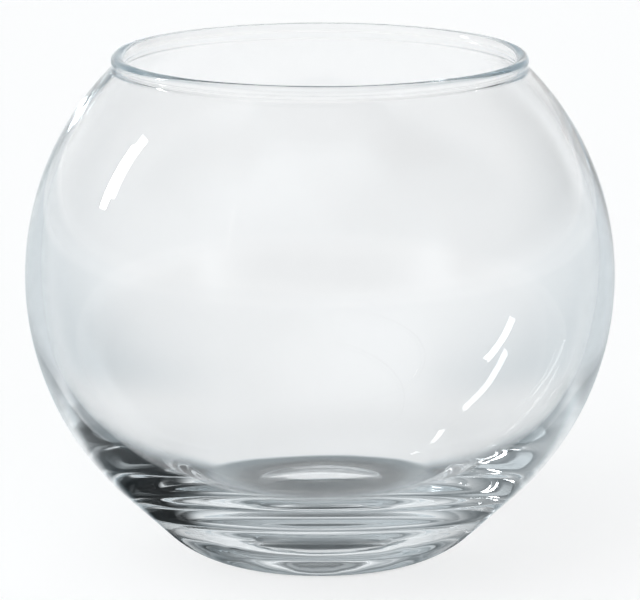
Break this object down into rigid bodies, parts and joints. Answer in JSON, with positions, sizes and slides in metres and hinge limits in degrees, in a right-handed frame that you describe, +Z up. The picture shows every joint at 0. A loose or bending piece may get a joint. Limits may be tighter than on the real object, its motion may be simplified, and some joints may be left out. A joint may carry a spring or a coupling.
{
  "type": "rose bowl vase",
  "caption": "Clear glass rose bowl: a ball-shaped vase with a wide round mouth, a fire-polished lip and a thick heavy base, for cut flowers or floating blooms.",
  "frame": {"origin": "centre of the plane that the vase stands on, on its axis", "axes": "+Z up along the axis of the vase, towards the mouth; the vase is round, so +X and +Y are any level pair"},
  "size_m": [0.152, 0.152, 0.1315],
  "materials": {
    "clear_glass": "clear soda-lime glass, smooth and fire-polished"
  },
  "bodies": {
    "root": {"glass_bowl": "clear_glass"}
  },
  "joints": []
}
